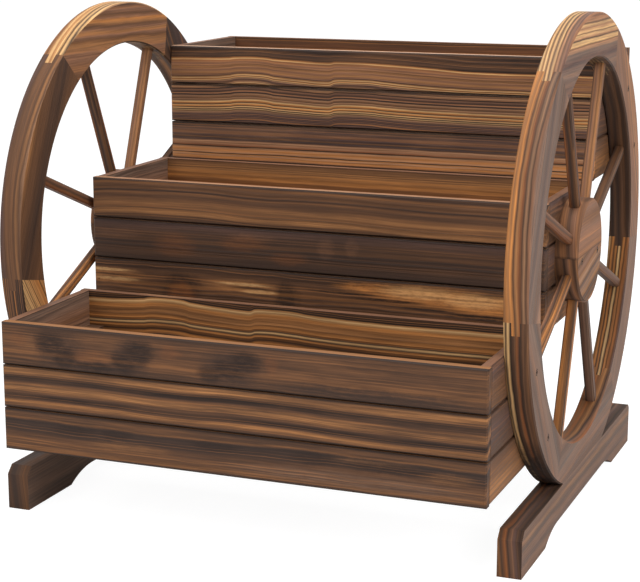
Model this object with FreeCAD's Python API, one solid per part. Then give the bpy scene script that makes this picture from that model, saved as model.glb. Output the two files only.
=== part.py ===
import FreeCAD, Part
import math
import os

# Three-step flower cart stand: three slatted planter boxes held between two
# fixed wagon wheels, which stand on two foot rails. Millimetres, +Z up, +Y to
# the back (the high box), origin on the floor under the middle of the stand.

# Boxes. Every wall is three boards of one stock laid edge to edge.
box_width = 538.0
box_depth = 183.0
box_pitch = 207.0                      # from one box's front to the next one's
box_floor_heights = (84.3, 210.5, 346.6)   # underside of each box
box_names = ("low_box", "middle_box", "high_box")
board_thickness = 11.0
board_height = 46.0
board_gap = 1.2
board_bevel = 1.6
boards_per_wall = 3

# Inner frame of a box: ledgers that carry the floor slats, and corner battens.
batten_size = 18.0
batten_below_rim = 40.0
ledger_size = 15.0
slat_count = 10
slat_thickness = 11.0

# Wheels: six finger-jointed felloes, a hub in two halves and eight spokes.
timber_thickness = 25.5                # wheels and rails are cut from one plank
wheel_radius = 258.0
rim_width = 47.4                       # radial
wheel_centre_y = 3.2
wheel_centre_z = 288.0
rim_bevel = 1.5
hub_radius = 57.5
hub_bevel = 2.0
spoke_size = 10.8
spoke_bevel = 1.6
spoke_count = 8
first_spoke_angle = 24.0               # degrees, 0 points back and 90 points up
spoke_let_in_rim = 10.0
spoke_let_in_hub = 8.0
finger_angle = 3.0                     # how far the middle finger runs past the cheeks

# Each felloe: the wheel angle of its starting joint at the rim's outer edge and
# at the bore, and the way its middle finger goes there (-1: its own tongue
# sticks out, 1: it is forked for its neighbour's).
felloes = (
    ("upper_back", -6.0, -6.0, -1),
    ("top", 66.0, 62.5, -1),
    ("upper_front", 126.5, 124.0, 1),
    ("lower_front", 186.0, 190.0, 1),
    ("bottom", 242.0, 242.0, 1),
    ("lower_back", 307.0, 308.0, -1),
)

# Foot rails, arched underneath so that each stands on two pads.
rail_front_y = -255.6
rail_length = 505.0
rail_height = 48.5
rail_nose_bevel = 9.0
rail_tail_bevel = 5.0
rail_pad = 95.0
rail_arch_height = 13.0
rail_arch_run = 50.0                   # length of the cove between pad and arch

# Countersunk wood screws; six flats stand for the threaded round shank.
screw_sides = 6
screw_radius = 2.0
screw_head_radius = 4.2
screw_head_depth = 2.6
side_screw_length = 34.0
rail_screw_length = 58.0
rail_screw_spread = 36.0               # each side of the wheel's centre
rim_screw_angles = (43.3, 22.3, -134.6, -159.0)
hub_screw_offsets = ((-37.0, -6.0), (36.0, -6.0))

box_height = boards_per_wall * board_height + (boards_per_wall - 1) * board_gap
overall_depth = 2 * box_pitch + box_depth
wheel_inner_x = box_width / 2
bore_radius = wheel_radius - rim_width
joint_overrun = 6.0                    # how far a joint's cut runs past the rim
plank_reach = 1.4 * wheel_radius       # outside every chord of the uncut planks
full_turn = 360.0
X_AXIS = FreeCAD.Vector(1, 0, 0)


def save(node, shapes):
    """Write one node: a single solid, or a group of separate like solids."""
    shape = shapes[0] if len(shapes) == 1 else Part.makeCompound(shapes)
    shape.exportStep("parts/" + node + ".step")


def block(x0, x1, y0, y1, z0, z1):
    return Part.makeBox(x1 - x0, y1 - y0, z1 - z0, FreeCAD.Vector(x0, y0, z0))


def board(x0, x1, y0, y1, z0, z1, outer_axis, outer_at):
    """A wall board whose outer face has all four arrises bevelled."""
    solid = block(x0, x1, y0, y1, z0, z1)
    arrises = []
    for edge in solid.Edges:
        places = [getattr(v.Point, outer_axis) for v in edge.Vertexes]
        if all(abs(place - outer_at) < 1e-6 for place in places):
            arrises.append(edge)
    return solid.makeChamfer(board_bevel, arrises)


def layer_bottoms(floor_z):
    step = board_height + board_gap
    return [floor_z + i * step for i in range(boards_per_wall)]


def front_boards(y0, floor_z):
    half = box_width / 2
    y1 = y0 + board_thickness
    return [board(-half, half, y0, y1, z, z + board_height, "y", y0)
            for z in layer_bottoms(floor_z)]


def back_boards(y1, floor_z):
    half = box_width / 2
    y0 = y1 - board_thickness
    return [board(-half, half, y0, y1, z, z + board_height, "y", y1)
            for z in layer_bottoms(floor_z)]


def side_boards(side, y0, floor_z, screws):
    """Side boards sit between the front and back boards; side is -1 or 1."""
    outer = side * box_width / 2
    inner = outer - side * board_thickness
    y_low = y0 + board_thickness
    y_high = y0 + box_depth - board_thickness
    boards = []
    for z in layer_bottoms(floor_z):
        solid = board(min(inner, outer), max(inner, outer), y_low, y_high,
                      z, z + board_height, "x", outer)
        boards.append(drilled(solid, screws))
    return boards


def ledgers(y0, floor_z):
    """Two ledgers along the bottom of the front and back walls."""
    half = box_width / 2 - board_thickness
    y_low = y0 + board_thickness
    y_high = y0 + box_depth - board_thickness
    return [block(-half, half, y, y + ledger_size, floor_z, floor_z + ledger_size)
            for y in (y_low, y_high - ledger_size)]


def floor_slats(y0, floor_z):
    """Slats laid front to back on the ledgers, with drainage gaps between."""
    room = box_width - 2 * board_thickness
    gap = (room - slat_count * board_height) / (slat_count + 1)
    y_low = y0 + board_thickness
    y_high = y0 + box_depth - board_thickness
    z = floor_z + ledger_size
    pieces = []
    for i in range(slat_count):
        x = -room / 2 + gap + i * (board_height + gap)
        pieces.append(block(x, x + board_height, y_low, y_high, z, z + slat_thickness))
    return pieces


def corner_battens(y0, floor_z):
    """Four battens that stand on the end slats and stop short of the rim."""
    x_in = box_width / 2 - board_thickness
    y_low = y0 + board_thickness
    y_high = y0 + box_depth - board_thickness
    z = floor_z + ledger_size + slat_thickness
    top = floor_z + box_height - batten_below_rim
    return [block(x, x + batten_size, y, y + batten_size, z, top)
            for y in (y_low, y_high - batten_size)
            for x in (-x_in, x_in - batten_size)]


def wheel_point(radius, angle, x=0.0):
    a = math.radians(angle)
    return FreeCAD.Vector(x, wheel_centre_y + radius * math.cos(a),
                          wheel_centre_z + radius * math.sin(a))


def full_rim(x0):
    """The whole rim as one ring, all four arrises bevelled."""
    x1 = x0 + timber_thickness
    section = [(x0, wheel_radius - rim_bevel), (x0 + rim_bevel, wheel_radius),
               (x1 - rim_bevel, wheel_radius), (x1, wheel_radius - rim_bevel),
               (x1, bore_radius + rim_bevel), (x1 - rim_bevel, bore_radius),
               (x0 + rim_bevel, bore_radius), (x0, bore_radius + rim_bevel)]
    corners = [wheel_point(r, 90.0, x) for x, r in section]
    face = Part.Face(Part.makePolygon(corners + corners[:1]))
    return face.revolve(wheel_point(0, 0), X_AXIS, full_turn)


def full_hub(x0, outer_x):
    """The whole hub as one disc; its back lies on the box, so only the front is bevelled."""
    disc = Part.makeCylinder(hub_radius, timber_thickness, wheel_point(0, 0, x0), X_AXIS)
    arrises = [edge for edge in disc.Edges
               if edge.Closed and abs(edge.BoundBox.Center.x - outer_x) < 1e-6]
    return disc.makeChamfer(hub_bevel, arrises)


def joint_line(joint, shift):
    """A joint's ends, carried a little past the bore and the outer edge."""
    outer = wheel_point(wheel_radius, joint[0] + shift)
    inner = wheel_point(bore_radius, joint[1] + shift)
    past = (outer - inner) * (joint_overrun / rim_width)
    return [inner - past, outer + past]


def slice_of_plank(x0, thickness, start, end, start_shift, end_shift):
    """One layer of a felloe before it is cut round: a slice between two joints."""
    span = end[0] - start[0]
    crown = [wheel_point(plank_reach, start[0] + span * part) for part in (1 / 3, 2 / 3)]
    corners = joint_line(start, start_shift) + crown + joint_line(end, end_shift)[::-1]
    corners = [corner + X_AXIS * x0 for corner in corners]
    face = Part.Face(Part.makePolygon(corners + corners[:1]))
    return face.extrude(FreeCAD.Vector(thickness, 0, 0))


def felloe(x0, rim, index):
    """One arc of the rim. Its two cheeks and its middle layer end at different
    places, so that neighbours lock like fingers."""
    name, outer_start, bore_start, start_way = felloes[index]
    following = felloes[(index + 1) % len(felloes)]
    outer_end, bore_end, end_way = following[1:]
    if outer_end < outer_start:
        outer_end += full_turn
        bore_end += full_turn
    start = (outer_start, bore_start)
    end = (outer_end, bore_end)
    layer = timber_thickness / 3
    cheek = slice_of_plank(x0, layer, start, end, 0, 0)
    tongue = slice_of_plank(x0 + layer, layer, start, end,
                            start_way * finger_angle, end_way * finger_angle)
    other_cheek = slice_of_plank(x0 + 2 * layer, layer, start, end, 0, 0)
    plank = cheek.fuse([tongue, other_cheek]).removeSplitter()
    return name, rim.common(plank)


def spoke(x_middle, angle):
    """A square stick with bevelled arrises, let into hub and rim."""
    low = hub_radius - spoke_let_in_hub
    high = bore_radius + spoke_let_in_rim
    half = spoke_size / 2
    inside = half - spoke_bevel
    outline = [(half, -inside), (half, inside), (inside, half), (-inside, half),
               (-half, inside), (-half, -inside), (-inside, -half), (inside, -half)]
    a = math.radians(angle)
    across = FreeCAD.Vector(0, -math.sin(a), math.cos(a))
    foot = wheel_point(low, angle, x_middle)
    corners = [foot + X_AXIS * u + across * v for u, v in outline]
    face = Part.Face(Part.makePolygon(corners + corners[:1]))
    return face.extrude(wheel_point(high, angle) - wheel_point(low, angle))


def screw_section(at, direction, radius):
    """Corners of equal flats round a point, square to one of the three axes."""
    first = FreeCAD.Vector(direction.y, direction.z, direction.x)
    second = direction.cross(first)
    corners = []
    for i in range(screw_sides):
        a = 2 * math.pi * i / screw_sides
        corners.append(at + first * (radius * math.cos(a)) + second * (radius * math.sin(a)))
    return corners


def screw(head_at, direction, length):
    """Countersunk head flush with the wood, and a plain shank."""
    sections = [screw_section(head_at + direction * depth, direction, radius)
                for depth, radius in ((0, screw_head_radius), (screw_head_depth, screw_radius),
                                      (length, screw_radius))]
    outlines = [sections[0], sections[-1]]
    for near, far in zip(sections, sections[1:]):
        for i in range(screw_sides):
            outlines.append([near[i - 1], near[i], far[i], far[i - 1]])
    faces = [Part.Face(Part.makePolygon(points + points[:1])) for points in outlines]
    return Part.Solid(Part.makeShell(faces))


def side_screws(side):
    """Four screws through the rim and two through the hub, into the boxes."""
    x = side * (wheel_inner_x + timber_thickness)
    inward = FreeCAD.Vector(-side, 0, 0)
    middle = (wheel_radius + bore_radius) / 2
    heads = [wheel_point(middle, angle, x) for angle in rim_screw_angles]
    for dy, dz in hub_screw_offsets:
        heads.append(wheel_point(0, 0, x) + FreeCAD.Vector(0, dy, dz))
    return [screw(head, inward, side_screw_length) for head in heads]


def rail_screws(side):
    """Two screws from the arch up through the rail, into the bottom felloe."""
    x = side * (wheel_inner_x + timber_thickness / 2)
    up = FreeCAD.Vector(0, 0, 1)
    places = (wheel_centre_y - rail_screw_spread, wheel_centre_y + rail_screw_spread)
    return [screw(FreeCAD.Vector(x, y, rail_arch_height), up, rail_screw_length) for y in places]


def drilled(solid, pieces):
    """Take away the room of whatever reaches into the solid."""
    for piece in pieces:
        if solid.BoundBox.intersect(piece.BoundBox):
            solid = solid.cut(piece)
    return solid


def cove(pad, arch, x):
    """The arc from a sharp corner at the pad up to the arch, level where it ends."""
    run = arch[0] - pad[0]
    rise = arch[1] - pad[1]
    radius = (run ** 2 + rise ** 2) / (2 * rise)
    centre_z = arch[1] - radius
    middle = (pad[0] + run / 2, centre_z + math.sqrt(radius ** 2 - (run / 2) ** 2))
    return Part.Arc(*[FreeCAD.Vector(x, y, z) for y, z in (pad, middle, arch)]).toShape()


def rail(side, screws):
    """One foot rail: bevelled ends, level top, two pads and the arch between."""
    x = wheel_inner_x if side > 0 else -wheel_inner_x - timber_thickness
    y0 = rail_front_y
    y1 = rail_front_y + rail_length
    front_pad = (y0 + rail_pad, 0)
    front_arch = (y0 + rail_pad + rail_arch_run, rail_arch_height)
    back_arch = (y1 - rail_pad - rail_arch_run, rail_arch_height)
    back_pad = (y1 - rail_pad, 0)
    over = [back_pad, (y1, 0), (y1, rail_height - rail_tail_bevel),
            (y1 - rail_tail_bevel, rail_height), (y0 + rail_nose_bevel, rail_height),
            (y0, rail_height - rail_nose_bevel), (y0, 0), front_pad]
    edges = Part.makePolygon([FreeCAD.Vector(x, y, z) for y, z in over]).Edges
    edges.append(cove(front_pad, front_arch, x))
    edges.append(Part.makeLine(FreeCAD.Vector(x, *front_arch), FreeCAD.Vector(x, *back_arch)))
    edges.append(cove(back_pad, back_arch, x))
    face = Part.Face(Part.Wire(Part.__sortEdges__(edges)))
    return drilled(face.extrude(FreeCAD.Vector(timber_thickness, 0, 0)), screws)


def make_wheel(side, word, screws):
    """Rim, hub and spokes of one wheel; the rim is cut flat where it stands."""
    x0 = wheel_inner_x if side > 0 else -wheel_inner_x - timber_thickness
    step = full_turn / spoke_count
    spokes = [spoke(x0 + timber_thickness / 2, first_spoke_angle + i * step)
              for i in range(spoke_count)]
    for i, piece in enumerate(spokes):
        save(word + "_spoke_" + str(i + 1), [piece])

    below = block(x0 - 1, x0 + timber_thickness + 1, -wheel_radius, wheel_radius, 0, rail_height)
    rim = full_rim(x0).cut(below)
    for index in range(len(felloes)):
        name, piece = felloe(x0, rim, index)
        save(word + "_felloe_" + name, [drilled(piece, spokes + screws)])

    hub = full_hub(x0, side * (wheel_inner_x + timber_thickness))
    reach = hub_radius + 1
    ends = (x0 - 1, x0 + timber_thickness + 1, wheel_centre_y - reach, wheel_centre_y + reach)
    upper = hub.common(block(*ends, wheel_centre_z, wheel_centre_z + reach))
    lower = hub.common(block(*ends, wheel_centre_z - reach, wheel_centre_z))
    save(word + "_hub_upper", [drilled(upper, spokes + screws)])
    save(word + "_hub_lower", [drilled(lower, spokes + screws)])


def make_box(index, screws):
    name = box_names[index]
    floor_z = box_floor_heights[index]
    y0 = -overall_depth / 2 + index * box_pitch
    for word, piece in zip(("bottom", "middle", "top"), front_boards(y0, floor_z)):
        save(name + "_front_board_" + word, [piece])
    save(name + "_back_boards", back_boards(y0 + box_depth, floor_z))
    save(name + "_left_boards", side_boards(-1, y0, floor_z, screws))
    save(name + "_right_boards", side_boards(1, y0, floor_z, screws))
    save(name + "_inner_frame", ledgers(y0, floor_z) + corner_battens(y0, floor_z))
    save(name + "_floor_slats", floor_slats(y0, floor_z))


os.makedirs("parts", exist_ok=True)
every_screw = []
for side, word in ((-1, "left"), (1, "right")):
    screws = side_screws(side) + rail_screws(side)
    every_screw += screws
    make_wheel(side, word, screws)
    save(word + "_foot_rail", [rail(side, screws)])
for index in range(len(box_names)):
    make_box(index, every_screw)
save("wood_screws", every_screw)
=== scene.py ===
import math

import bmesh
import bpy
from mathutils import Matrix, Vector


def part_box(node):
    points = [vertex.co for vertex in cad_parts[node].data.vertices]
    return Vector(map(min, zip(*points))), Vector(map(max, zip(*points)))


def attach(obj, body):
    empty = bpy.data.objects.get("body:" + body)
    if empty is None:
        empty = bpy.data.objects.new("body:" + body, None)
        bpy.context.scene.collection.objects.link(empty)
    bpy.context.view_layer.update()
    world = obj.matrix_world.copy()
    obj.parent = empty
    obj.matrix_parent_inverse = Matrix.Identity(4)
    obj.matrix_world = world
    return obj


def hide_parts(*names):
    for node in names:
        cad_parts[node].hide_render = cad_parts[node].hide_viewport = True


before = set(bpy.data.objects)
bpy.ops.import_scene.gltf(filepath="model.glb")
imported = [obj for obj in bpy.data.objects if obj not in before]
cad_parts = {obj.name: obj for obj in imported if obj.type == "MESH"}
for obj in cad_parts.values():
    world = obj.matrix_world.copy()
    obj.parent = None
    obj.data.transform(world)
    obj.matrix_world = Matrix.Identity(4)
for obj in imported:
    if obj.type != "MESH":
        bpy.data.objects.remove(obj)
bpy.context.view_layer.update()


# ---- Foot rails -------------------------------------------------------------
# Two rails sawn from the same fir plank as the wheels, with a bevelled nose and
# an arched underside. Like all the wood here they are scorched with a torch,
# brushed so that the hard growth rings stand up, and sealed with a matt oil.

def linear(red, green, blue):
    """A colour written as on a paint card, 0 to 255, for a shader socket."""
    parts = [value / 255 for value in (red, green, blue)]
    return tuple(p / 12.92 if p < 0.04045 else ((p + 0.055) / 1.055) ** 2.4 for p in parts) + (1.0,)


tones = {
    "char": linear(33, 21, 15),
    "soot": linear(59, 43, 35),
    "umber": linear(84, 57, 39),
    "plum": linear(84, 62, 56),
    "chestnut": linear(112, 75, 48),
    "rust": linear(136, 80, 42),
    "clay": linear(142, 99, 73),
    "tan": linear(158, 108, 66),
    "honey": linear(194, 126, 66),
    "biscuit": linear(178, 130, 94),
    "straw": linear(230, 182, 124),
    "sapwood": linear(214, 172, 140),
    "driftwood": linear(122, 98, 84),
}


def put(tree, kind, inputs=None, **settings):
    """Add a shader node. Inputs are plain values or other nodes' outputs."""
    made = tree.nodes.new(kind)
    for key, value in settings.items():
        setattr(made, key, value)
    for key, value in (inputs or {}).items():
        if isinstance(value, bpy.types.NodeSocket):
            tree.links.new(value, made.inputs[key])
        else:
            made.inputs[key].default_value = value
    return made


def calc(tree, operation, *values):
    made = put(tree, "ShaderNodeMath", dict(enumerate(values)), operation=operation)
    return made.outputs[0]


def vector_calc(tree, operation, *values):
    made = put(tree, "ShaderNodeVectorMath", dict(enumerate(values)), operation=operation)
    return made.outputs[0]


def fade(tree, value, start, end, low=0.0, high=1.0):
    """Smoothly from low to high as the value goes from start to end."""
    made = put(tree, "ShaderNodeMapRange", {0: value, 1: start, 2: end, 3: low, 4: high},
               interpolation_type="SMOOTHSTEP")
    return made.outputs[0]


def tint(tree, amount, under, over):
    """Lays one colour over another, by an amount from 0 to 1."""
    made = put(tree, "ShaderNodeMix", {0: amount, 6: under, 7: over},
               data_type="RGBA", clamp_factor=True)
    return made.outputs[2]


def noise(tree, place, stretch, detail=2.0, roughness=0.55):
    """Noise with so many waves a metre along, across and through the board."""
    scaled = vector_calc(tree, "MULTIPLY", place, stretch)
    made = put(tree, "ShaderNodeTexNoise", {"Vector": scaled, "Scale": 1.0, "Detail": detail,
                                            "Roughness": roughness})
    return made.outputs["Fac"]


def new_group(name, inputs, outputs):
    """An empty shader group with its named sockets; returns its tree and both ends."""
    tree = bpy.data.node_groups.new(name, "ShaderNodeTree")
    for label, kind in inputs:
        tree.interface.new_socket(name=label, in_out="INPUT", socket_type="NodeSocket" + kind)
    for label, kind in outputs:
        tree.interface.new_socket(name=label, in_out="OUTPUT", socket_type="NodeSocket" + kind)
    return tree, tree.nodes.new("NodeGroupInput").outputs, tree.nodes.new("NodeGroupOutput").inputs


slow_waves = (5.0, 14.0, 14.0)
quick_waves = (24.0, 90.0, 90.0)
fibre_waves = (8.0, 460.0, 460.0)
cloud_waves = (6.0, 55.0, 55.0)
quick_share = 0.3              # how far the quick bends of a ring go, against the slow ones
ring_unevenness = 2.6          # in rings
ring_unevenness_scale = 0.37


def fir_grain():
    """Growth rings, fibre and clouds of a sawn fir board, from a place on the board:
    X along it, Y across it and Z through it, in metres."""
    tree, given, out = new_group(
        "fir_grain",
        [("Place", "Vector"), ("Wander", "Float"), ("Spacing", "Float"), ("Lean", "Float"),
         ("Seed", "Float")],
        [("Across", "Float"), ("Late wood", "Float"), ("Early wood", "Float"), ("Fibre", "Float"),
         ("Cloud", "Float")])
    seed = put(tree, "ShaderNodeCombineXYZ", {0: given["Seed"], 1: given["Seed"], 2: given["Seed"]})
    place = vector_calc(tree, "ADD", given["Place"], seed.outputs[0])
    slow = calc(tree, "SUBTRACT", noise(tree, place, slow_waves), 0.5)
    quick = calc(tree, "SUBTRACT", noise(tree, place, quick_waves), 0.5)
    drift = calc(tree, "MULTIPLY_ADD", quick, quick_share, slow)
    drift = calc(tree, "MULTIPLY", drift, given["Wander"])
    split = put(tree, "ShaderNodeSeparateXYZ", {0: given["Place"]}).outputs
    leaning = calc(tree, "MULTIPLY_ADD", split["Z"], given["Lean"], split["Y"])
    across = calc(tree, "ADD", leaning, drift)

    rings = calc(tree, "DIVIDE", across, given["Spacing"])
    uneven = put(tree, "ShaderNodeTexNoise",
                 {"W": calc(tree, "ADD", rings, given["Seed"]), "Scale": ring_unevenness_scale,
                  "Detail": 1.0}, noise_dimensions="1D")
    rings = calc(tree, "MULTIPLY_ADD", uneven.outputs["Fac"], ring_unevenness, rings)
    saw = calc(tree, "FRACT", rings)
    each = put(tree, "ShaderNodeTexWhiteNoise",
               {"W": calc(tree, "ADD", calc(tree, "FLOOR", rings), given["Seed"])},
               noise_dimensions="1D").outputs["Value"]
    late = calc(tree, "MULTIPLY", fade(tree, saw, 0.35, 0.8), fade(tree, saw, 0.88, 1.0, 1.0, 0.0))
    late = calc(tree, "MULTIPLY", late, calc(tree, "MULTIPLY_ADD", each, 0.8, 0.2))
    early = calc(tree, "MULTIPLY", fade(tree, saw, 0.0, 0.08), fade(tree, saw, 0.1, 0.45, 1.0, 0.0))
    early = calc(tree, "MULTIPLY", early, calc(tree, "SUBTRACT", 1.0, each))

    fibre = noise(tree, place, fibre_waves, 3.0, 0.7)
    cloud = noise(tree, place, cloud_waves, 4.0, 0.62)
    for label, value in (("Across", across), ("Late wood", late), ("Early wood", early),
                         ("Fibre", fade(tree, fibre, 0.34, 0.66)),
                         ("Cloud", fade(tree, cloud, 0.38, 0.64))):
        tree.links.new(value, out[label])
    return tree


def facing(tree):
    """Which way a face looks, as its X, Y and Z parts."""
    looks = put(tree, "ShaderNodeNewGeometry").outputs["True Normal"]
    return put(tree, "ShaderNodeSeparateXYZ", {0: looks}).outputs


square_on = (0.8, 0.98)        # where a face begins to count as looking one way, and fully does
oiled_roughness = 0.66
ring_polish = -0.12            # hard rings shine a little more,
fibre_dullness = 0.08          # and soft fibre a little less
fibre_height = 0.35            # against a ring's height of 1


def scorched_finish():
    """What the torch, the brush and the sander leave on a board's faces, with a painted sheen on faces
    that look along X and a painted highlight on faces that look up.
    """
    tree, given, out = new_group(
        "scorched_finish",
        [("Colour", "Color"), ("Late wood", "Float"), ("Early wood", "Float"), ("Fibre", "Float"),
         ("Ring depth", "Float"), ("Ring glow", "Float"), ("Fibre depth", "Float"),
         ("Side", "Color"), ("Painted side sheen", "Float"), ("Arris", "Float"),
         ("Top", "Color"), ("Top wear and highlight", "Float")],
        [("Colour", "Color"), ("Roughness", "Float"), ("Height", "Float")])
    glow = calc(tree, "MULTIPLY", given["Early wood"], given["Ring glow"])
    colour = tint(tree, glow, given["Colour"], tones["honey"])
    looks = facing(tree)
    # Painted sheen: faces that look along X are tinted towards the Side colour, the greyer veil that the
    # light gives them.
    sideways = fade(tree, calc(tree, "ABSOLUTE", looks["X"]), *square_on)
    colour = tint(tree, calc(tree, "MULTIPLY", sideways, given["Painted side sheen"]), colour, given["Side"])
    ring_shade = calc(tree, "MULTIPLY", given["Late wood"], given["Ring depth"])
    colour = tint(tree, ring_shade, colour, tones["char"])
    streak = calc(tree, "MULTIPLY", calc(tree, "SUBTRACT", 1.0, given["Fibre"]), given["Fibre depth"])
    colour = tint(tree, streak, colour, tones["char"])
    colour = tint(tree, given["Arris"], colour, tones["char"])
    # Faces that look up are tinted towards the Top colour: paler sanded wood, and a painted highlight
    # where the light falls on them.
    upwards_share = fade(tree, looks["Z"], *square_on)
    worn_and_lit_top = calc(tree, "MULTIPLY", upwards_share, given["Top wear and highlight"])
    worn_and_lit_top = calc(tree, "MULTIPLY", worn_and_lit_top, calc(tree, "MULTIPLY_ADD", given["Fibre"], 0.4, 0.6))
    colour = tint(tree, worn_and_lit_top, colour, given["Top"])
    rough = calc(tree, "MULTIPLY_ADD", given["Late wood"], ring_polish, oiled_roughness)
    rough = calc(tree, "MULTIPLY_ADD", given["Fibre"], fibre_dullness, rough)
    height = calc(tree, "MULTIPLY_ADD", given["Fibre"], fibre_height, given["Late wood"])
    for label, value in (("Colour", colour), ("Roughness", rough), ("Height", height)):
        tree.links.new(value, out[label])
    return tree


grain_group = fir_grain()
finish_group = scorched_finish()


def turned(along, across):
    """The turn that lays a pattern's X along the grain and its Y across the board."""
    x, y = Vector(along), Vector(across)
    return Matrix((x, y, x.cross(y))).transposed().to_euler()


def banded(tree, share, bands):
    """Bands are (place from 0 to 1, tone)."""
    ramp = put(tree, "ShaderNodeValToRGB", {0: share})
    stops = ramp.color_ramp.elements
    stops[0].position, stops[0].color = bands[0][0], tones[bands[0][1]]
    stops[1].position, stops[1].color = bands[-1][0], tones[bands[-1][1]]
    for at, tone in bands[1:-1]:
        stops.new(at).color = tones[tone]
    return ramp.outputs[0]


def evenly(*woods):
    """Bands of these tones at even steps."""
    return [(i / (len(woods) - 1), wood) for i, wood in enumerate(woods)]


def new_material(name):
    made = bpy.data.materials.new(name)
    made.use_nodes = True
    made.node_tree.nodes.clear()
    return made, made.node_tree


def sawn_apart(tree, split, place, board_pitch):
    """Gives each board of a wall a piece of wood of its own."""
    number = calc(tree, "FLOOR", calc(tree, "DIVIDE", split["Y"], board_pitch))
    along = calc(tree, "MULTIPLY", number, metres_between_boards)
    apart = put(tree, "ShaderNodeCombineXYZ", {0: along})
    return vector_calc(tree, "ADD", place, apart.outputs[0])


def round_the_edge(tree, split, figure, width, thickness):
    """Where a face doesn't look along X, the pattern runs through the plank's thickness
    instead of its width. Returns the mask of such faces and the pattern's new place."""
    on_edge = calc(tree, "LESS_THAN", calc(tree, "ABSOLUTE", facing(tree)["X"]), edge_limit)
    inwards = calc(tree, "SUBTRACT", split["Y"], width)
    drifting = calc(tree, "MULTIPLY_ADD", inwards, edge_drift, split["Z"])
    edge_place = put(tree, "ShaderNodeCombineXYZ",
                     {0: split["X"], 1: calc(tree, "ADD", drifting, thickness)})
    figure = put(tree, "ShaderNodeMix", {0: on_edge, 4: figure, 5: edge_place.outputs[0]},
                 data_type="VECTOR").outputs[1]
    return on_edge, figure


metres_between_boards = 1.7
edge_limit = 0.85
edge_drift = 0.1
arris_width = 0.003            # scorched and painted with seam shade, darkest in the first 0.6 mm of it
arris_core = 0.0006
brushed_depth = 0.0006
brushed_relief = 0.35
matt_oil_shine = 0.22


def scorched_fir(name, corner, along, across, width, bands, seed=0.0, wander=0.004,
                 spacing=0.005, lean=0.6, ring_depth=0.4, ring_glow=0.3, fibre_depth=0.4,
                 clouds=("soot", 0.3), side=("driftwood", 0.0), top=("sapwood", 0.0), arris=0.0,
                 sweeps=(), patches=(), board_pitch=None, repeat=False, thickness=None,
                 edge_bands=None):
    """A board's own wood, laid from a corner of it along the grain and across the width.
    Bands are (place across the width from 0 to 1, tone), and with repeat they run on,
    mirrored, past the width. Wander, spacing and lean are the rings' bends, distance and
    slant through the board. Ring, glow and fibre depths, clouds, side, top, arris and
    patches say how strongly each shows. Side is a painted sheen on faces that look along X;
    top is paler sanded wood with a painted highlight on faces that look up; arris darkens
    the board's long edges, scorched and with painted seam shade; patches hold knots and
    scorch marks, and on the rims painted shade. Edge bands go through the thickness, on
    the faces that don't look along X."""
    made, tree = new_material(name)
    place = put(tree, "ShaderNodeMapping",
                {"Vector": put(tree, "ShaderNodeTexCoord").outputs["Object"],
                 "Location": corner, "Rotation": turned(along, across)},
                vector_type="TEXTURE").outputs[0]
    split = put(tree, "ShaderNodeSeparateXYZ", {0: place}).outputs
    figure = sawn_apart(tree, split, place, board_pitch) if board_pitch else place
    for rise, points in sweeps:
        figure = vector_calc(tree, "ADD", figure, swept_line(tree, split, width, rise, points))
    if edge_bands:
        on_edge, figure = round_the_edge(tree, split, figure, width, thickness)
    grain = put(tree, "ShaderNodeGroup",
                {"Place": figure, "Wander": wander, "Spacing": spacing, "Lean": lean, "Seed": seed},
                node_tree=grain_group).outputs
    share = calc(tree, "DIVIDE", grain["Across"], width)
    if repeat:
        share = calc(tree, "PINGPONG", share, 1.0)
    colour = banded(tree, share, bands)
    if edge_bands:
        edge_share = calc(tree, "PINGPONG", calc(tree, "DIVIDE", grain["Across"], thickness), 1.0)
        colour = tint(tree, on_edge, colour, banded(tree, edge_share, edge_bands))
    cloud_tone, cloud_amount = clouds
    cloud = calc(tree, "MULTIPLY", grain["Cloud"], cloud_amount)
    colour = tint(tree, cloud, colour, tones[cloud_tone])
    if patches:
        colour = patched(tree, place, colour, patches, on_edge if edge_bands else 1.0)
    finish_inputs = {"Colour": colour, "Ring depth": ring_depth, "Ring glow": ring_glow,
                     "Fibre depth": fibre_depth, "Side": tones[side[0]], "Painted side sheen": side[1],
                     "Top": tones[top[0]], "Top wear and highlight": top[1]}
    for label in ("Late wood", "Early wood", "Fibre"):
        finish_inputs[label] = grain[label]
    # Darkens each board's long edges: scorched wood, and painted shade along the seams.
    if arris:
        from_edge = calc(tree, "PINGPONG", split["Y"], (board_pitch or width) / 2)
        finish_inputs["Arris"] = fade(tree, from_edge, arris_core, arris_width, arris, 0.0)
    finish = put(tree, "ShaderNodeGroup", finish_inputs, node_tree=finish_group).outputs
    relief = put(tree, "ShaderNodeBump",
                 {"Height": finish["Height"], "Strength": brushed_relief,
                  "Distance": brushed_depth})
    surface = put(tree, "ShaderNodeBsdfPrincipled",
                  {"Base Color": finish["Colour"], "Roughness": finish["Roughness"],
                   "Normal": relief.outputs[0], "Specular IOR Level": matt_oil_shine})
    put(tree, "ShaderNodeOutputMaterial", {"Surface": surface.outputs[0]})
    return made


def dress(node_name, material):
    for material_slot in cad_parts[node_name].material_slots:
        material_slot.material = material


rightwards = (1, 0, 0)
backwards = (0, 1, 0)
upwards = (0, 0, 1)
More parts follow.
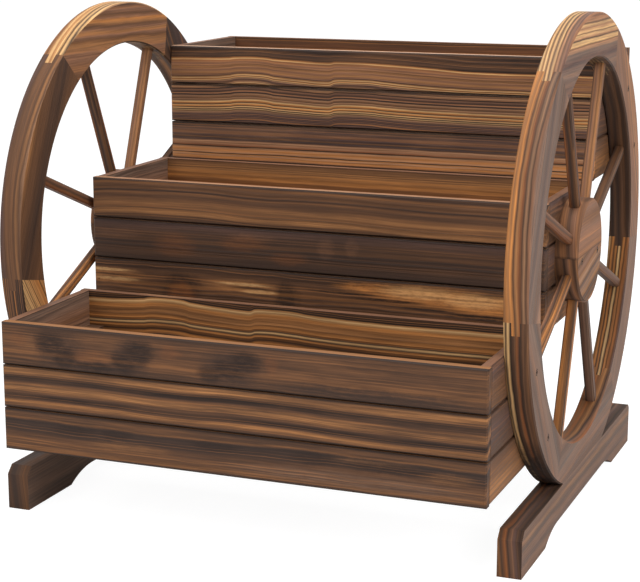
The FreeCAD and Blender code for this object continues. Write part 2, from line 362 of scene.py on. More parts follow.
# Side greys the rails' faces that look along X towards driftwood: a painted sheen.
rail_looks = {
    "right": dict(
        bands=[(0.0, "umber"), (0.16, "clay"), (0.34, "plum"), (0.5, "clay"), (0.64, "umber"),
               (0.8, "tan"), (0.9, "umber"), (1.0, "clay")],
        edge_bands=evenly("umber", "umber", "rust", "soot", "clay", "plum", "umber", "char", "umber"),
        seed=3.0, spacing=0.013, ring_glow=0.2, wander=0.012, side=("driftwood", 0.55)),
    "left": dict(
        bands=[(0.0, "umber"), (0.5, "chestnut"), (1.0, "umber")],
        edge_bands=evenly("umber", "soot", "umber", "chestnut", "soot", "umber"),
        seed=5.0, spacing=0.02, ring_depth=0.3, wander=0.01, side=("driftwood", 0.75)),
}
for side, look in rail_looks.items():
    low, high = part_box(side + "_foot_rail")
    wood = scorched_fir(side + "_rail_wood", (high.x, low.y, low.z), backwards, upwards,
                        high.z - low.z, thickness=high.x - low.x, lean=1.0, **look)
    dress(side + "_foot_rail", wood)


# ---- Wheel rims ---------------------------------------------------------------
# Each rim is six felloes sawn from a thick plank, so the grain runs straight
# along each one's chord and changes direction at every finger joint. The
# circular edge cuts through the growth rings and shows them as long stripes.

outline_waves = 70.0
mottle_waves = (70.0, 300.0, 70.0)
soft_outline = (0.45, 1.25)    # a patch fades out between these shares of its oval's size


def patched(tree, place, colour, patches, spread):
    """Knots, scorch marks and painted shade: each is a tone, an amount, how far its outline strays and
    a list of ovals (place along, place across, half length, half height)."""
    astray = put(tree, "ShaderNodeTexNoise", {"Vector": place, "Scale": outline_waves, "Detail": 4.0,
                                              "Roughness": 0.7}).outputs["Color"]
    astray = vector_calc(tree, "SUBTRACT", astray, (0.5, 0.5, 0.5))
    mottled = fade(tree, noise(tree, place, mottle_waves, 5.0, 0.8), 0.3, 0.6, 0.4, 1.0)
    mottled = calc(tree, "MULTIPLY", mottled, spread)
    for tone, amount, stray, ovals in patches:
        shift = vector_calc(tree, "MULTIPLY", astray, (2.0 * stray, stray, 0.0))
        spot = vector_calc(tree, "ADD", place, shift)
        nearest = None
        for x, y, half_length, half_height in ovals:
            away = vector_calc(tree, "SUBTRACT", spot, (x, y, 0.0))
            share = vector_calc(tree, "MULTIPLY", away, (1 / half_length, 1 / half_height, 0.0))
            distance = put(tree, "ShaderNodeVectorMath", {0: share}, operation="LENGTH").outputs["Value"]
            nearest = calc(tree, "MINIMUM", nearest, distance) if nearest else distance
        mask = calc(tree, "MULTIPLY", fade(tree, nearest, *soft_outline, amount, 0.0), mottled)
        colour = tint(tree, mask, colour, tones[tone])
    return colour


def wheel_ways(degrees):
    """Outwards from the axle and clockwise, at a wheel angle: 0 points back, 90 up."""
    angle = math.radians(degrees)
    return (0.0, math.cos(angle), math.sin(angle)), (0.0, math.sin(angle), -math.cos(angle))


rim_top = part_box("right_felloe_top")[1]
axle_y = 0.0032
axle_z = 0.288
rim_radius = rim_top.z - axle_z
rim_thickness = 0.0255
grain_start = 0.69 * rim_radius        # where a felloe's plank begins, at its two ends' bore
# The wheel angle that each felloe's grain lies square to.
felloe_grain = {"upper_back": 30.0, "top": 90.0, "upper_front": 156.0, "lower_front": 214.0,
                "bottom": 274.0, "lower_back": 330.0}
felloe_seed_step = 1.3
# Soot and painted shade on the bore of the top felloes, which looks down into shade.
sooty_shaded_bore = [("soot", 1.0, 0.004, [(0.0, 0.01, 0.16, 0.03)])]


def charred(*oval):
    """Painted shade on a rim's lower edge, which looks down: a dark patch laid twice."""
    return [("char", amount, 0.004, [oval]) for amount in (1.0, 0.8)]


# Bands on the face go from the bore outwards, and edge bands from left to right.
# Side greys a felloe's faces that look along X towards a greyer tone: a painted sheen.
felloe_looks = {
    "right_top": dict(
        bands=[(0.0, "plum"), (0.3, "driftwood"), (0.42, "plum"), (0.53, "driftwood"),
               (0.55, "biscuit"), (0.58, "biscuit"), (0.6, "umber"), (0.62, "straw"),
               (0.66, "straw"), (0.68, "char"), (0.7, "biscuit"), (0.745, "straw"),
               (0.757, "chestnut"), (0.77, "straw"), (0.82, "biscuit"), (0.86, "straw"),
               (0.88, "umber"), (0.9, "biscuit"), (0.95, "clay"), (1.0, "clay")],
        edge_bands=evenly("umber", "straw", "char", "straw", "char", "straw", "char", "biscuit",
                          "umber", "clay", "plum", "clay", "clay"),
        patches=sooty_shaded_bore,
        spacing=0.008, ring_depth=0.3, ring_glow=0.1, wander=0.006, clouds=("clay", 0.35)),
    "right_upper_front": dict(
        bands=evenly("biscuit", "clay", "umber", "driftwood", "plum", "driftwood", "clay"),
        edge_bands=evenly("honey", "tan", "honey", "umber", "tan", "rust", "umber", "biscuit",
                          "umber", "clay", "driftwood"),
        spacing=0.012, ring_glow=0.2, wander=0.01, side=("driftwood", 0.4)),
    "right_lower_front": dict(
        bands=evenly("driftwood", "clay", "umber", "driftwood", "clay", "umber", "driftwood"),
        edge_bands=evenly("char", "straw", "char", "umber", "chestnut", "rust", "soot", "chestnut",
                          "umber", "chestnut", "umber", "umber"),
        patches=charred(-0.13, 0.055, 0.1, 0.09),
        spacing=0.014, ring_glow=0.1, wander=0.012, side=("driftwood", 0.35)),
    "right_bottom": dict(
        bands=evenly("clay", "umber", "driftwood", "clay", "umber", "driftwood"),
        edge_bands=evenly("tan", "rust", "umber", "tan", "soot", "clay", "rust", "clay"),
        patches=charred(0.12, 0.075, 0.1, 0.05),
        spacing=0.012, ring_glow=0.2, wander=0.012, side=("driftwood", 0.4)),
    "right_lower_back": dict(
        bands=evenly("clay", "driftwood", "clay", "driftwood"),
        edge_bands=evenly("soot", "honey", "char", "straw", "char", "honey", "char", "rust",
                          "umber", "plum", "umber", "plum", "plum"),
        spacing=0.014, wander=0.012, side=("driftwood", 0.4)),
    "right_upper_back": dict(
        bands=evenly("clay", "driftwood", "clay", "biscuit", "clay"),
        edge_bands=evenly("umber", "soot", "chestnut", "char", "umber", "soot", "umber"),
        spacing=0.012, ring_depth=0.5, ring_glow=0.1, wander=0.01, side=("clay", 0.4)),
    "left_top": dict(
        bands=[(0.0, "chestnut"), (0.3, "clay"), (0.42, "tan"), (0.5, "chestnut"), (0.55, "clay"),
               (0.6, "tan"), (0.64, "clay"), (0.68, "chestnut"), (0.72, "tan"), (0.75, "honey"),
               (0.78, "clay"), (0.82, "chestnut"), (0.9, "clay"), (1.0, "soot")],
        edge_bands=evenly("umber", "tan", "straw", "tan", "straw", "char", "straw", "soot", "straw",
                          "biscuit"),
        patches=sooty_shaded_bore,
        spacing=0.01, ring_depth=0.2, wander=0.012, clouds=("umber", 0.2)),
    "left_upper_front": dict(
        bands=evenly("umber", "chestnut", "umber", "soot", "umber", "chestnut", "tan"),
        edge_bands=evenly("umber", "plum", "umber", "chestnut", "chestnut", "chestnut", "umber",
                          "tan", "umber", "biscuit"),
        spacing=0.016, ring_depth=0.15, ring_glow=0.05, wander=0.012, clouds=("umber", 0.5)),
    "left_lower_front": dict(
        bands=evenly("straw", "honey", "straw", "tan"),
        edge_bands=evenly("umber", "chestnut", "umber", "soot", "umber"),
        spacing=0.0028, ring_depth=1.0, ring_glow=0.6, wander=0.004),
    "left_bottom": dict(
        bands=evenly("umber", "chestnut", "umber"),
        edge_bands=evenly("umber", "chestnut", "soot", "umber"),
        spacing=0.01, ring_depth=0.5, wander=0.008),
    "left_lower_back": dict(
        bands=evenly("umber", "chestnut", "soot"),
        edge_bands=evenly("umber", "rust", "soot", "umber"),
        spacing=0.01, ring_depth=0.5, wander=0.008),
    "left_upper_back": dict(
        bands=evenly("umber", "soot", "plum", "umber"),
        edge_bands=evenly("umber", "tan", "soot", "umber"),
        spacing=0.014, ring_depth=0.5, wander=0.01),
}
for index, (key, look) in enumerate(felloe_looks.items()):
    side, felloe_name = key.split("_", 1)
    node_name = side + "_felloe_" + felloe_name
    outward, clockwise = wheel_ways(felloe_grain[felloe_name])
    corner = (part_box(node_name)[1].x, axle_y + grain_start * outward[1],
              axle_z + grain_start * outward[2])
    wood = scorched_fir(node_name + "_wood", corner, clockwise, outward, rim_radius - grain_start,
                        thickness=rim_thickness, seed=felloe_seed_step * index, repeat=True, **look)
    dress(node_name, wood)


# ---- Hubs ---------------------------------------------------------------------
# A round hub as thick as the rim, in an upper and a lower half that meet on a
# level seam. The upper half's grain runs level and the lower one's rises to the
# back. Two screws through the lower half hold it to the middle box.

hub_edge = evenly("umber", "chestnut", "soot", "clay", "umber", "chestnut")
hub_looks = {
    "upper": dict(along=backwards, across=upwards,
                  bands=evenly("chestnut", "clay", "chestnut", "clay"),
                  spacing=0.02, ring_depth=0.15, clouds=("clay", 0.4)),
    "lower": dict(along=(0, 0.98, 0.2), across=(0, -0.2, 0.98),
                  bands=evenly("chestnut", "umber", "tan", "driftwood", "umber", "biscuit", "umber",
                               "clay", "umber", "tan", "chestnut"),
                  spacing=0.009, ring_depth=0.3, wander=0.008),
}
hub_halves = [side + "_hub_" + half for side in ("left", "right") for half in hub_looks]
for index, node_name in enumerate(hub_halves):
    low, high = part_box(node_name)
    wood = scorched_fir(node_name + "_wood", (high.x, low.y, low.z), width=high.z - low.z,
                        seed=20 + index, arris=0.5, repeat=True, thickness=rim_thickness,
                        edge_bands=hub_edge, **hub_looks[node_name.split("_")[2]])
    dress(node_name, wood)


# ---- Spokes -------------------------------------------------------------------
# Eight square sticks a wheel with eased arrises, let into the hub and the rim.
# Their grain runs from the hub outwards.

spoke_tones = (("soot", "umber", "chestnut", "soot"), ("umber", "clay", "tan", "clay"),
               ("rust", "soot", "umber", "soot"), ("clay", "umber", "rust", "umber"),
               ("umber", "honey", "soot", "clay"), ("soot", "tan", "honey", "clay"),
               ("soot", "driftwood", "plum", "soot"), ("umber", "plum", "driftwood", "umber"))
spoke_size = 0.0108
first_spoke_angle = 24.0
spoke_step = 360.0 / len(spoke_tones)
for side in ("left", "right"):
    for number, woods in enumerate(spoke_tones, 1):
        node_name = side + "_spoke_" + str(number)
        outward, clockwise = wheel_ways(first_spoke_angle + spoke_step * (number - 1))
        foot = (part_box(node_name)[0].x, axle_y - spoke_size / 2 * clockwise[1],
                axle_z - spoke_size / 2 * clockwise[2])
        wood = scorched_fir(node_name + "_wood", foot, outward, clockwise, spoke_size,
                            evenly(*woods), seed=30 + number, lean=0.9, ring_depth=0.45,
                            ring_glow=0.15, wander=0.008, repeat=True)
        dress(node_name, wood)


# ---- Box linings: inner frames and floor slats --------------------------------
# Ledgers and corner battens hold the walls together; the floor slats lie across
# the ledgers with gaps between, so that water drains away.

leftwards = (-1, 0, 0)
slat_pitch = 0.0506
frame_height = 0.1004
plain_bands = [(0.0, "umber"), (0.3, "chestnut"), (0.6, "umber"), (1.0, "chestnut")]
for index, box_name in enumerate(("low_box", "middle_box", "high_box")):
    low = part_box(box_name + "_floor_slats")[0]
    wood = scorched_fir(box_name + "_slat_wood", tuple(low), backwards, leftwards, slat_pitch,
                        plain_bands, seed=50 + index, board_pitch=slat_pitch)
    dress(box_name + "_floor_slats", wood)
    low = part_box(box_name + "_inner_frame")[0]
    wood = scorched_fir(box_name + "_frame_wood", tuple(low), rightwards, upwards, frame_height,
                        plain_bands, seed=60 + index)
    dress(box_name + "_inner_frame", wood)


# ---- Box walls ------------------------------------------------------------------
# Side and back walls are three boards each, laid edge to edge with a hair of
# shadow between them. A seam's two arrises are darker than the faces: scorched, and
# painted with the seam's shade.

wall_low, wall_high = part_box("low_box_back_boards")
box_width = wall_high.x - wall_low.x


def swept_line(tree, split, width, rise, points):
    """How far the grain is lifted along a board: points are (place from 0 to 1, share),
    rise is the lift at a share of 1, at the board's lower and its upper edge."""
    curve = put(tree, "ShaderNodeFloatCurve", {"Value": calc(tree, "DIVIDE", split["X"], box_width)})
    line = curve.mapping.curves[0]
    line.points[0].location = points[0]
    line.points[1].location = points[-1]
    for at, share in points[1:-1]:
        line.points.new(at, share)
    curve.mapping.update()
    steepness = calc(tree, "DIVIDE", split["Y"], width)
    height = calc(tree, "MULTIPLY_ADD", steepness, rise[1] - rise[0], rise[0])
    lift = calc(tree, "MULTIPLY", curve.outputs[0], calc(tree, "MULTIPLY", height, -1.0))
    return put(tree, "ShaderNodeCombineXYZ", {1: lift}).outputs[0]


wall_board_pitch = 0.0472
# Top colour of the walls' top edges: sanded wood and a painted highlight.
wall_rim = ("clay", 0.6)
first_wave = [(0.0, 0.0), (0.1, 0.25), (0.15, 0.6), (0.205, 1.0), (0.26, 0.6), (0.34, 0.2),
              (0.4, 0.0), (1.0, 0.0)]
second_wave = [(0.0, 0.0), (0.39, 0.0), (0.405, 0.45), (0.46, 0.7), (0.52, 0.45), (0.58, 0.15),
               (0.64, 0.0), (1.0, 0.0)]
back_looks = {
    "low_box": dict(
        bands=[(0.0, "umber"), (0.3, "honey"), (0.5, "chestnut"), (0.62, "honey"), (0.66, "soot"),
               (0.68, "honey"), (0.7, "char"), (0.73, "honey"), (0.745, "soot"), (0.76, "straw"),
               (0.775, "soot"), (0.79, "honey"), (0.84, "tan"), (0.9, "honey"), (0.93, "straw"),
               (0.95, "char"), (1.0, "umber")],
        sweeps=[((0.0, 0.007), first_wave), ((0.0, 0.006), second_wave)]),
    "middle_box": dict(
        bands=[(0.0, "umber"), (0.6, "chestnut"), (0.8, "rust"), (0.87, "honey"), (0.93, "tan"),
               (1.0, "chestnut")]),
    "high_box": dict(
        bands=[(0.0, "umber"), (0.4, "chestnut"), (0.7, "umber"), (0.85, "rust"), (1.0, "umber")]),
}
# The left walls' bands are lighter than the right walls': their own tones, lifted as painted light on
# the inner faces that the lamps leave dim.
side_bands = {
    "left": [(0.0, "clay"), (0.3, "tan"), (0.45, "chestnut"), (0.6, "clay"), (0.7, "driftwood"),
             (0.85, "clay"), (1.0, "driftwood")],
    "right": [(0.0, "chestnut"), (0.15, "tan"), (0.3, "chestnut"), (0.4, "umber"), (0.6, "plum"),
              (0.75, "umber"), (0.9, "chestnut"), (1.0, "plum")],
}
first_side_seed = {"left": 85, "right": 80}
for index, (box_name, look) in enumerate(back_looks.items()):
    low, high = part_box(box_name + "_back_boards")
    wood = scorched_fir(box_name + "_back_wood", tuple(low), rightwards, upwards, high.z - low.z,
                        seed=70 + index, board_pitch=wall_board_pitch, top=wall_rim, wander=0.005,
                        ring_depth=0.6, ring_glow=0.5, arris=0.8, **look)
    dress(box_name + "_back_boards", wood)
    for side, bands in side_bands.items():
        low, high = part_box(box_name + "_" + side + "_boards")
        wood = scorched_fir(box_name + "_" + side + "_wood", tuple(low), backwards, upwards,
                            high.z - low.z, bands, seed=first_side_seed[side] + index,
                            board_pitch=wall_board_pitch, top=wall_rim, wander=0.012,
                            ring_glow=0.15, clouds=("umber", 0.4), arris=0.8)
        dress(box_name + "_" + side + "_boards", wood)


# ---- Front boards ---------------------------------------------------------------
# Three boards across the front of each box, picked for their figure: burnt
# bands, thin hard rings, and knots. Their top edges are sanded back to paler wood
# with a painted highlight. Their tones are the boards' own, set lighter on the high
# box and darker on the low box as painted light that grows brighter towards the top.

high_sag = [(0.0, 0.0), (0.3, 0.15), (0.55, 0.25), (0.68, 0.75), (0.75, 1.0), (1.0, 1.0)]
middle_bend = [(0.0, 0.2), (0.22, 0.9), (0.4, 0.5), (0.5, 0.6), (0.75, 0.1), (1.0, 0.0)]
low_bend = [(0.0, 0.3), (0.2, 0.8), (0.4, 0.3), (0.5, 0.7), (0.75, 0.1), (1.0, 0.0)]
# The high box's tones are lifted and the low box's lowered: painted light, brighter towards the top and
# back.
front_looks = {
    "high_box_front_board_top": dict(
        bands=[(0.0, "soot"), (0.03, "plum"), (0.055, "biscuit"), (0.07, "char"), (0.085, "straw"),
               (0.11, "rust"), (0.125, "char"), (0.15, "straw"), (0.17, "tan"), (0.21, "soot"),
               (0.235, "clay"), (0.3, "tan"), (0.36, "clay"), (0.45, "tan"), (0.52, "clay"),
               (0.6, "clay"), (0.63, "rust"), (0.655, "straw"), (0.685, "honey"), (0.7, "char"),
               (0.74, "char"), (0.8, "soot"), (0.86, "umber"), (0.9, "char"), (1.0, "soot")],
        sweeps=[((0.009, 0.003), first_wave),
                ((0.007, 0.001), second_wave),
                ((-0.001, -0.009), high_sag)],
        clouds=("chestnut", 0.5), ring_depth=0.35, ring_glow=0.35, spacing=0.003, wander=0.004,
        repeat=True),
    "high_box_front_board_middle": dict(
        bands=[(0.0, "plum"), (0.05, "plum"), (0.2, "plum"), (0.26, "biscuit"), (0.28, "char"),
               (0.31, "straw"), (0.33, "char"), (0.36, "straw"), (0.385, "char"), (0.41, "honey"),
               (0.44, "straw"), (0.46, "char"), (0.5, "honey"), (0.53, "straw"), (0.56, "umber"),
               (0.6, "biscuit"), (0.63, "char"), (0.68, "biscuit"), (0.71, "soot"), (0.76, "clay"),
               (0.79, "char"), (0.83, "clay"), (0.88, "char"), (0.93, "biscuit"), (1.0, "umber")],
        sweeps=[((0.004, 0.006), first_wave),
                ((0.006, 0.004), second_wave)],
        clouds=("plum", 0.3), ring_depth=0.85, ring_glow=0.7, spacing=0.0024, wander=0.003,
        repeat=True),
    "high_box_front_board_bottom": dict(
        bands=[(0.0, "char"), (0.03, "clay"), (0.1, "honey"), (0.16, "biscuit"), (0.19, "honey"),
               (0.2, "char"), (0.215, "char"), (0.23, "biscuit"), (0.3, "honey"), (0.37, "biscuit"),
               (0.385, "char"), (0.4, "char"), (0.42, "rust"), (0.45, "clay"), (0.52, "biscuit"),
               (0.57, "plum"), (0.62, "soot"), (0.7, "plum"), (0.85, "plum"), (1.0, "soot")],
        clouds=("biscuit", 0.25), ring_depth=0.25, ring_glow=0.3, spacing=0.005, wander=0.004),
    "middle_box_front_board_top": dict(
        bands=[(0.0, "umber"), (0.04, "tan"), (0.12, "tan"), (0.22, "chestnut"), (0.3, "tan"),
               (0.42, "chestnut"), (0.5, "umber"), (0.58, "chestnut"), (0.64, "soot"),
               (0.68, "chestnut"), (0.84, "chestnut"), (0.9, "soot"), (1.0, "chestnut")],
        sweeps=[((0.008, 0.006), middle_bend)],
        clouds=("umber", 0.5), ring_depth=0.35, ring_glow=0.2, spacing=0.008),
    "middle_box_front_board_middle": dict(
        bands=[(0.0, "soot"), (0.3, "umber"), (0.4, "soot"), (0.7, "umber"), (1.0, "plum")],
        clouds=("soot", 0.5), ring_depth=0.3, ring_glow=0.1, spacing=0.005, fibre_depth=0.4,
        patches=[("rust", 0.3, 0.008, [(0.105, 0.02, 0.028, 0.014), (0.19, 0.028, 0.03, 0.01),
                                       (0.245, 0.014, 0.024, 0.008)]),
                 ("clay", 0.2, 0.008, [(0.2, 0.036, 0.03, 0.004), (0.03, 0.03, 0.03, 0.006),
                                       (0.29, 0.03, 0.01, 0.014), (0.32, 0.032, 0.008, 0.012)])]),
    "middle_box_front_board_bottom": dict(
        bands=[(0.0, "umber"), (0.3, "chestnut"), (0.45, "umber"), (0.6, "chestnut"), (0.8, "umber"),
               (1.0, "umber")],
        clouds=("soot", 0.45), ring_depth=0.5, ring_glow=0.3, spacing=0.005, wander=0.01,
        patches=[("tan", 0.85, 0.004, [(0.02, 0.027, 0.05, 0.01), (0.19, 0.026, 0.05, 0.008)]),
                 ("straw", 0.7, 0.002, [(0.01, 0.0335, 0.04, 0.002), (0.03, 0.023, 0.03, 0.0025),
                                        (0.19, 0.0285, 0.035, 0.002), (0.21, 0.021, 0.024, 0.0025)]),
                 ("char", 0.8, 0.0015, [(0.03, 0.0285, 0.04, 0.0014), (0.2, 0.0245, 0.035, 0.0014)]),
                 ("char", 0.9, 0.013, [(0.112, 0.02, 0.028, 0.018), (0.243, 0.018, 0.016, 0.018)]),
                 ("rust", 0.7, 0.01, [(0.112, 0.014, 0.018, 0.012)]),
                 ("honey", 1.0, 0.004, [(0.35, 0.036, 0.05, 0.006), (0.41, 0.032, 0.08, 0.012),
                                        (0.47, 0.027, 0.06, 0.012)]),
                 ("straw", 0.5, 0.004, [(0.4, 0.035, 0.05, 0.008), (0.46, 0.031, 0.04, 0.009)]),
                 ("char", 0.9, 0.0, [(0.0055, 0.021, 0.0014, 0.0014)]),
                 ("char", 1.0, 0.001, [(0.31, 0.0285, 0.05, 0.0018), (0.36, 0.0235, 0.05, 0.0024),
                                       (0.41, 0.0185, 0.05, 0.0026), (0.47, 0.0135, 0.05, 0.0034)])]),
    "low_box_front_board_top": dict(
        bands=[(0.0, "char"), (0.04, "umber"), (0.3, "chestnut"), (0.8, "chestnut"), (1.0, "umber")],
        clouds=("umber", 0.9), ring_depth=0.5, ring_glow=0.1, spacing=0.005, wander=0.01,
        fibre_depth=0.5,
        patches=[("soot", 0.85, 0.01, [(0.072, 0.02, 0.032, 0.022), (0.11, 0.007, 0.05, 0.009),
                                       (0.157, 0.022, 0.026, 0.022), (0.27, 0.021, 0.036, 0.022),
                                       (0.42, 0.007, 0.12, 0.008)]),
                 ("rust", 0.25, 0.01, [(0.11, 0.018, 0.03, 0.008), (0.312, 0.029, 0.01, 0.01),
                                      (0.2, 0.03, 0.014, 0.008), (0.02, 0.03, 0.012, 0.009)]),
                 ("char", 0.9, 0.007, [(0.058, 0.028, 0.02, 0.014), (0.076, 0.014, 0.016, 0.013),
                                       (0.11, 0.007, 0.03, 0.005), (0.146, 0.014, 0.016, 0.013),
                                       (0.163, 0.027, 0.02, 0.015), (0.284, 0.029, 0.018, 0.013),
                                       (0.265, 0.019, 0.02, 0.012), (0.245, 0.012, 0.016, 0.01)])]),
    "low_box_front_board_middle": dict(
        bands=[(0.0, "umber"), (0.06, "chestnut"), (0.12, "tan"), (0.18, "chestnut"), (0.21, "soot"),
               (0.23, "char"), (0.3, "char"), (0.33, "soot"), (0.36, "chestnut"), (0.43, "tan"),
               (0.5, "tan"), (0.57, "chestnut"), (0.62, "umber"), (0.65, "char"), (0.73, "char"),
               (0.76, "umber"), (0.82, "tan"), (0.92, "tan"), (1.0, "umber")],
        sweeps=[((0.003, 0.003), low_bend)],
        clouds=("umber", 0.75), ring_depth=0.4, ring_glow=0.2, spacing=0.003, wander=0.004,
        fibre_depth=0.55),
    "low_box_front_board_bottom": dict(
        bands=[(0.0, "umber"), (0.3, "chestnut"), (0.48, "umber"), (0.56, "soot"), (0.74, "soot"),
               (0.8, "chestnut"), (0.84, "umber"), (0.92, "chestnut"), (1.0, "umber")],
        clouds=("soot", 0.5), ring_depth=0.5, ring_glow=0.2, spacing=0.005, wander=0.01,
        fibre_depth=0.55,
        patches=[("driftwood", 0.35, 0.008, [(0.4, 0.012, 0.14, 0.009)]),
                 ("tan", 0.3, 0.006, [(0.15, 0.018, 0.05, 0.006), (0.42, 0.033, 0.05, 0.004),
                                      (0.5, 0.026, 0.03, 0.006)]),
                 ("char", 0.7, 0.008, [(0.085, 0.03, 0.03, 0.006), (0.135, 0.03, 0.02, 0.006),
                                       (0.25, 0.031, 0.03, 0.006), (0.36, 0.031, 0.03, 0.007),
                                       (0.44, 0.029, 0.05, 0.006)])]),
}
# Top colours of each box's front boards: sanded wood and a painted highlight, paler on the higher boxes.
rim_tones = {"high": "sapwood", "middle": "biscuit", "low": "tan"}
rim_wear_and_highlight = 0.75
for index, (node_name, look) in enumerate(front_looks.items()):
    low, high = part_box(node_name)
    wood = scorched_fir(node_name + "_wood", tuple(low), rightwards, upwards, high.z - low.z,
                        seed=100 + index, top=(rim_tones[node_name.split("_")[0]], rim_wear_and_highlight),
                        arris=0.85, **look)
    dress(node_name, wood)


# ---- Wood screws ----------------------------------------------------------------
# Countersunk cross-recess screws of blackened steel: four through each rim and
# two through each hub into the boxes, and two up through each rail.

screw_head_radius = 0.0042
screw_face_radius = 0.7 * screw_head_radius    # the flat round the recess
screw_face_fall = 0.0001                       # from there to the head's rim; this outer ring is dark steel and painted countersink shade
screw_head_depth = 0.0026
screw_radius = 0.002
screw_sides = 24
recess_reach = 0.55 * screw_head_radius
recess_half_width = 0.16 * screw_head_radius
recess_depth = 0.0014
recess_taper = 0.7
steel_waves = (900.0, 900.0, 900.0)


def screw_steel(name, dark, light):
    made, tree = new_material(name)
    worn = noise(tree, put(tree, "ShaderNodeTexCoord").outputs["Object"], steel_waves, 3.0, 0.6)
    surface = put(tree, "ShaderNodeBsdfPrincipled",
                  {"Base Color": tint(tree, worn, linear(*dark), linear(*light)),
                   "Roughness": fade(tree, worn, 0.3, 0.7, 0.55, 0.75),
                   "Metallic": 0.1, "Specular IOR Level": 0.1})
    put(tree, "ShaderNodeOutputMaterial", {"Surface": surface.outputs[0]})
    return made


def add_screw(mesh, head_at, direction, length):
    """A screw from its head down: cross recess, flat head, cone and shank."""
    turn = Vector((0, 0, -1)).rotation_difference(Vector(direction)).to_matrix().to_4x4()
    profile = [(screw_face_radius, 0.0), (screw_head_radius, -screw_face_fall),
               (screw_radius, -screw_head_depth), (screw_radius, -length)]
    rings = []
    for radius, height in profile:
        rings.append([mesh.verts.new((radius * math.cos(math.tau * i / screw_sides),
                                      radius * math.sin(math.tau * i / screw_sides), height))
                      for i in range(screw_sides)])
    for ring, following in zip(rings, rings[1:]):
        for i in range(screw_sides):
            mesh.faces.new((ring[i - 1], ring[i], following[i], following[i - 1]))
    mesh.faces.new(rings[-1])

    arm = [Vector((recess_reach, -recess_half_width, 0)), Vector((recess_reach, recess_half_width, 0)),
           Vector((recess_half_width, recess_half_width, 0))]
    outline = []
    for quarter in range(4):
        turned_by = Matrix.Rotation(math.tau * quarter / 4, 4, "Z")
        outline += [turned_by @ corner for corner in arm]
    recess = [mesh.verts.new(corner) for corner in outline]
    recess_edges = [mesh.edges.new((recess[i - 1], recess[i])) for i in range(len(recess))]
    rim_edges = [edge for edge in mesh.edges if all(v in rings[0] for v in edge.verts)]
    filled = bmesh.ops.triangle_fill(mesh, edges=recess_edges + rim_edges, normal=(0, 0, 1))
    for face in filled["geom"]:
        if isinstance(face, bmesh.types.BMFace):
            face.material_index = 1
    bottom = Vector((0, 0, -recess_depth))
    recess_floor = [mesh.verts.new(corner * recess_taper + bottom) for corner in outline]
    for i in range(len(recess)):
        mesh.faces.new((recess[i - 1], recess[i], recess_floor[i], recess_floor[i - 1]))
    mesh.faces.new(recess_floor)
    new_verts = [v for ring in rings for v in ring] + recess + recess_floor
    bmesh.ops.transform(mesh, matrix=Matrix.Translation(head_at) @ turn, verts=new_verts)


def set_down(shape, name):
    """The finished shape as an object in the scene."""
    data = bpy.data.meshes.new(name)
    shape.to_mesh(data)
    piece = bpy.data.objects.new(name, data)
    bpy.context.scene.collection.objects.link(piece)
    return piece


rim_screw_radius = rim_radius - 0.0237
rim_screw_angles = (43.3, 22.3, -134.6, -159.0)
hub_screw_offsets = ((-0.037, -0.006), (0.036, -0.006))
side_screw_length = 0.034
rail_screw_length = 0.058
rail_screw_spread = 0.036
rail_arch_height = 0.013
screw_mesh = bmesh.new()
for side in (-1, 1):
    heads = []
    for degrees in rim_screw_angles:
        outward = wheel_ways(degrees)[0]
        heads.append((axle_y + rim_screw_radius * outward[1], axle_z + rim_screw_radius * outward[2]))
    heads += [(axle_y + y, axle_z + z) for y, z in hub_screw_offsets]
    for y, z in heads:
        add_screw(screw_mesh, (side * rim_top.x, y, z), (-side, 0, 0), side_screw_length)
    for y in (axle_y - rail_screw_spread, axle_y + rail_screw_spread):
        spot = (side * (rim_top.x - rim_thickness / 2), y, rail_arch_height)
        add_screw(screw_mesh, spot, upwards, rail_screw_length)
bmesh.ops.recalc_face_normals(screw_mesh, faces=screw_mesh.faces)
screw_heads = set_down(screw_mesh, "screw_heads")
# The dark steel is the screws' own colour, and on each head's outer ring it is also painted shade for
# the countersink round the head.
screw_heads.data.materials.append(screw_steel("dark_screw_steel", (30, 22, 18), (52, 40, 34)))
screw_heads.data.materials.append(screw_steel("worn_screw_steel", (84, 66, 56), (118, 94, 80)))
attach(screw_heads, "root")
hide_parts("wood_screws")


# ---- Studio ---------------------------------------------------------------------
# A plain white floor that keeps the stand's soft shadow, large soft lights, and
# the camera in front of the stand, to its right and a little higher than its top.

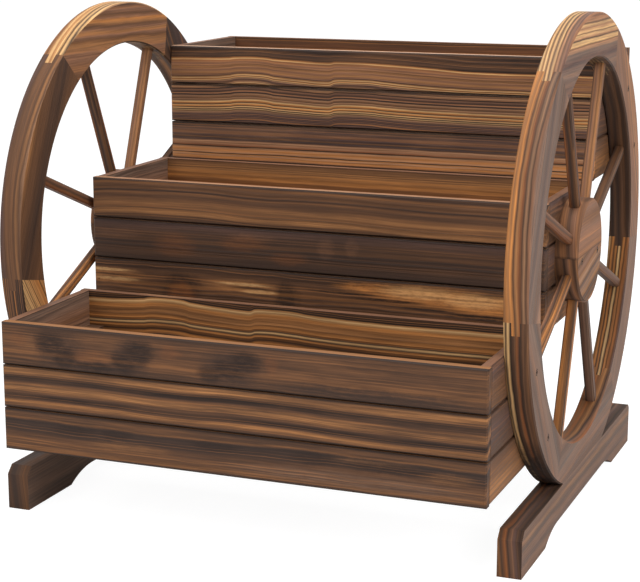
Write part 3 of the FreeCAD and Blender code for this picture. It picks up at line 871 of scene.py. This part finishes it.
floor_size = 60.0
floor_mesh = bmesh.new()
bmesh.ops.create_grid(floor_mesh, x_segments=1, y_segments=1, size=floor_size)
floor = set_down(floor_mesh, "floor")
floor_paint, tree = new_material("floor_paint")
paper = put(tree, "ShaderNodeBsdfDiffuse", {"Color": (0.8, 0.8, 0.8, 1.0)})
glow = put(tree, "ShaderNodeEmission", {"Color": (1.0, 1.0, 1.0, 1.0), "Strength": 1.25})
seen = put(tree, "ShaderNodeMixShader", {0: 0.75, 1: paper.outputs[0], 2: glow.outputs[0]})
rays = put(tree, "ShaderNodeLightPath").outputs
chosen = put(tree, "ShaderNodeMixShader",
             {0: rays["Is Camera Ray"], 1: paper.outputs[0], 2: seen.outputs[0]})
put(tree, "ShaderNodeOutputMaterial", {"Surface": chosen.outputs[0]})
floor.data.materials.append(floor_paint)

room_light = 0.5               # what the white room gives the object,
seen_white = 1.0               # and how white it is when seen directly or mirrored
world = bpy.data.worlds.new("studio")
bpy.context.scene.world = world
world.use_nodes = True
tree = world.node_tree
sky = tree.nodes["Background"]
sky.inputs["Color"].default_value = (1.0, 1.0, 1.0, 1.0)
rays = put(tree, "ShaderNodeLightPath").outputs
mirrored = calc(tree, "MAXIMUM", rays["Is Glossy Ray"], rays["Is Transmission Ray"])
plain_white = calc(tree, "MAXIMUM", rays["Is Camera Ray"], mirrored)
tree.links.new(fade(tree, plain_white, 0.0, 1.0, room_light, seen_white), sky.inputs["Strength"])

object_middle = Vector((0.0, 0.0, 0.27))
for light_name, spot, size, power in (
        ("key_light", (-1.4, -2.6, 2.6), 2.0, 55.0),
        ("right_light", (3.0, -1.2, 1.8), 1.6, 65.0),
        ("top_light", (0.2, 0.0, 3.2), 2.0, 85.0)):
    light_data = bpy.data.lights.new(light_name, "AREA")
    light_data.size = size
    light_data.energy = power
    light = bpy.data.objects.new(light_name, light_data)
    light.location = spot
    light.rotation_euler = (object_middle - Vector(spot)).to_track_quat("-Z", "Y").to_euler()
    bpy.context.scene.collection.objects.link(light)

camera_data = bpy.data.cameras.new("camera")
camera_data.sensor_width = 36.0
camera_data.lens = 98.78
camera = bpy.data.objects.new("camera", camera_data)
camera.location = (0.7162, -1.8610, 0.6533)
camera.rotation_euler = (math.radians(77.72), 0.0, math.radians(21.65))
bpy.context.scene.collection.objects.link(camera)
bpy.context.scene.camera = camera
bpy.context.scene.view_settings.view_transform = "Standard"
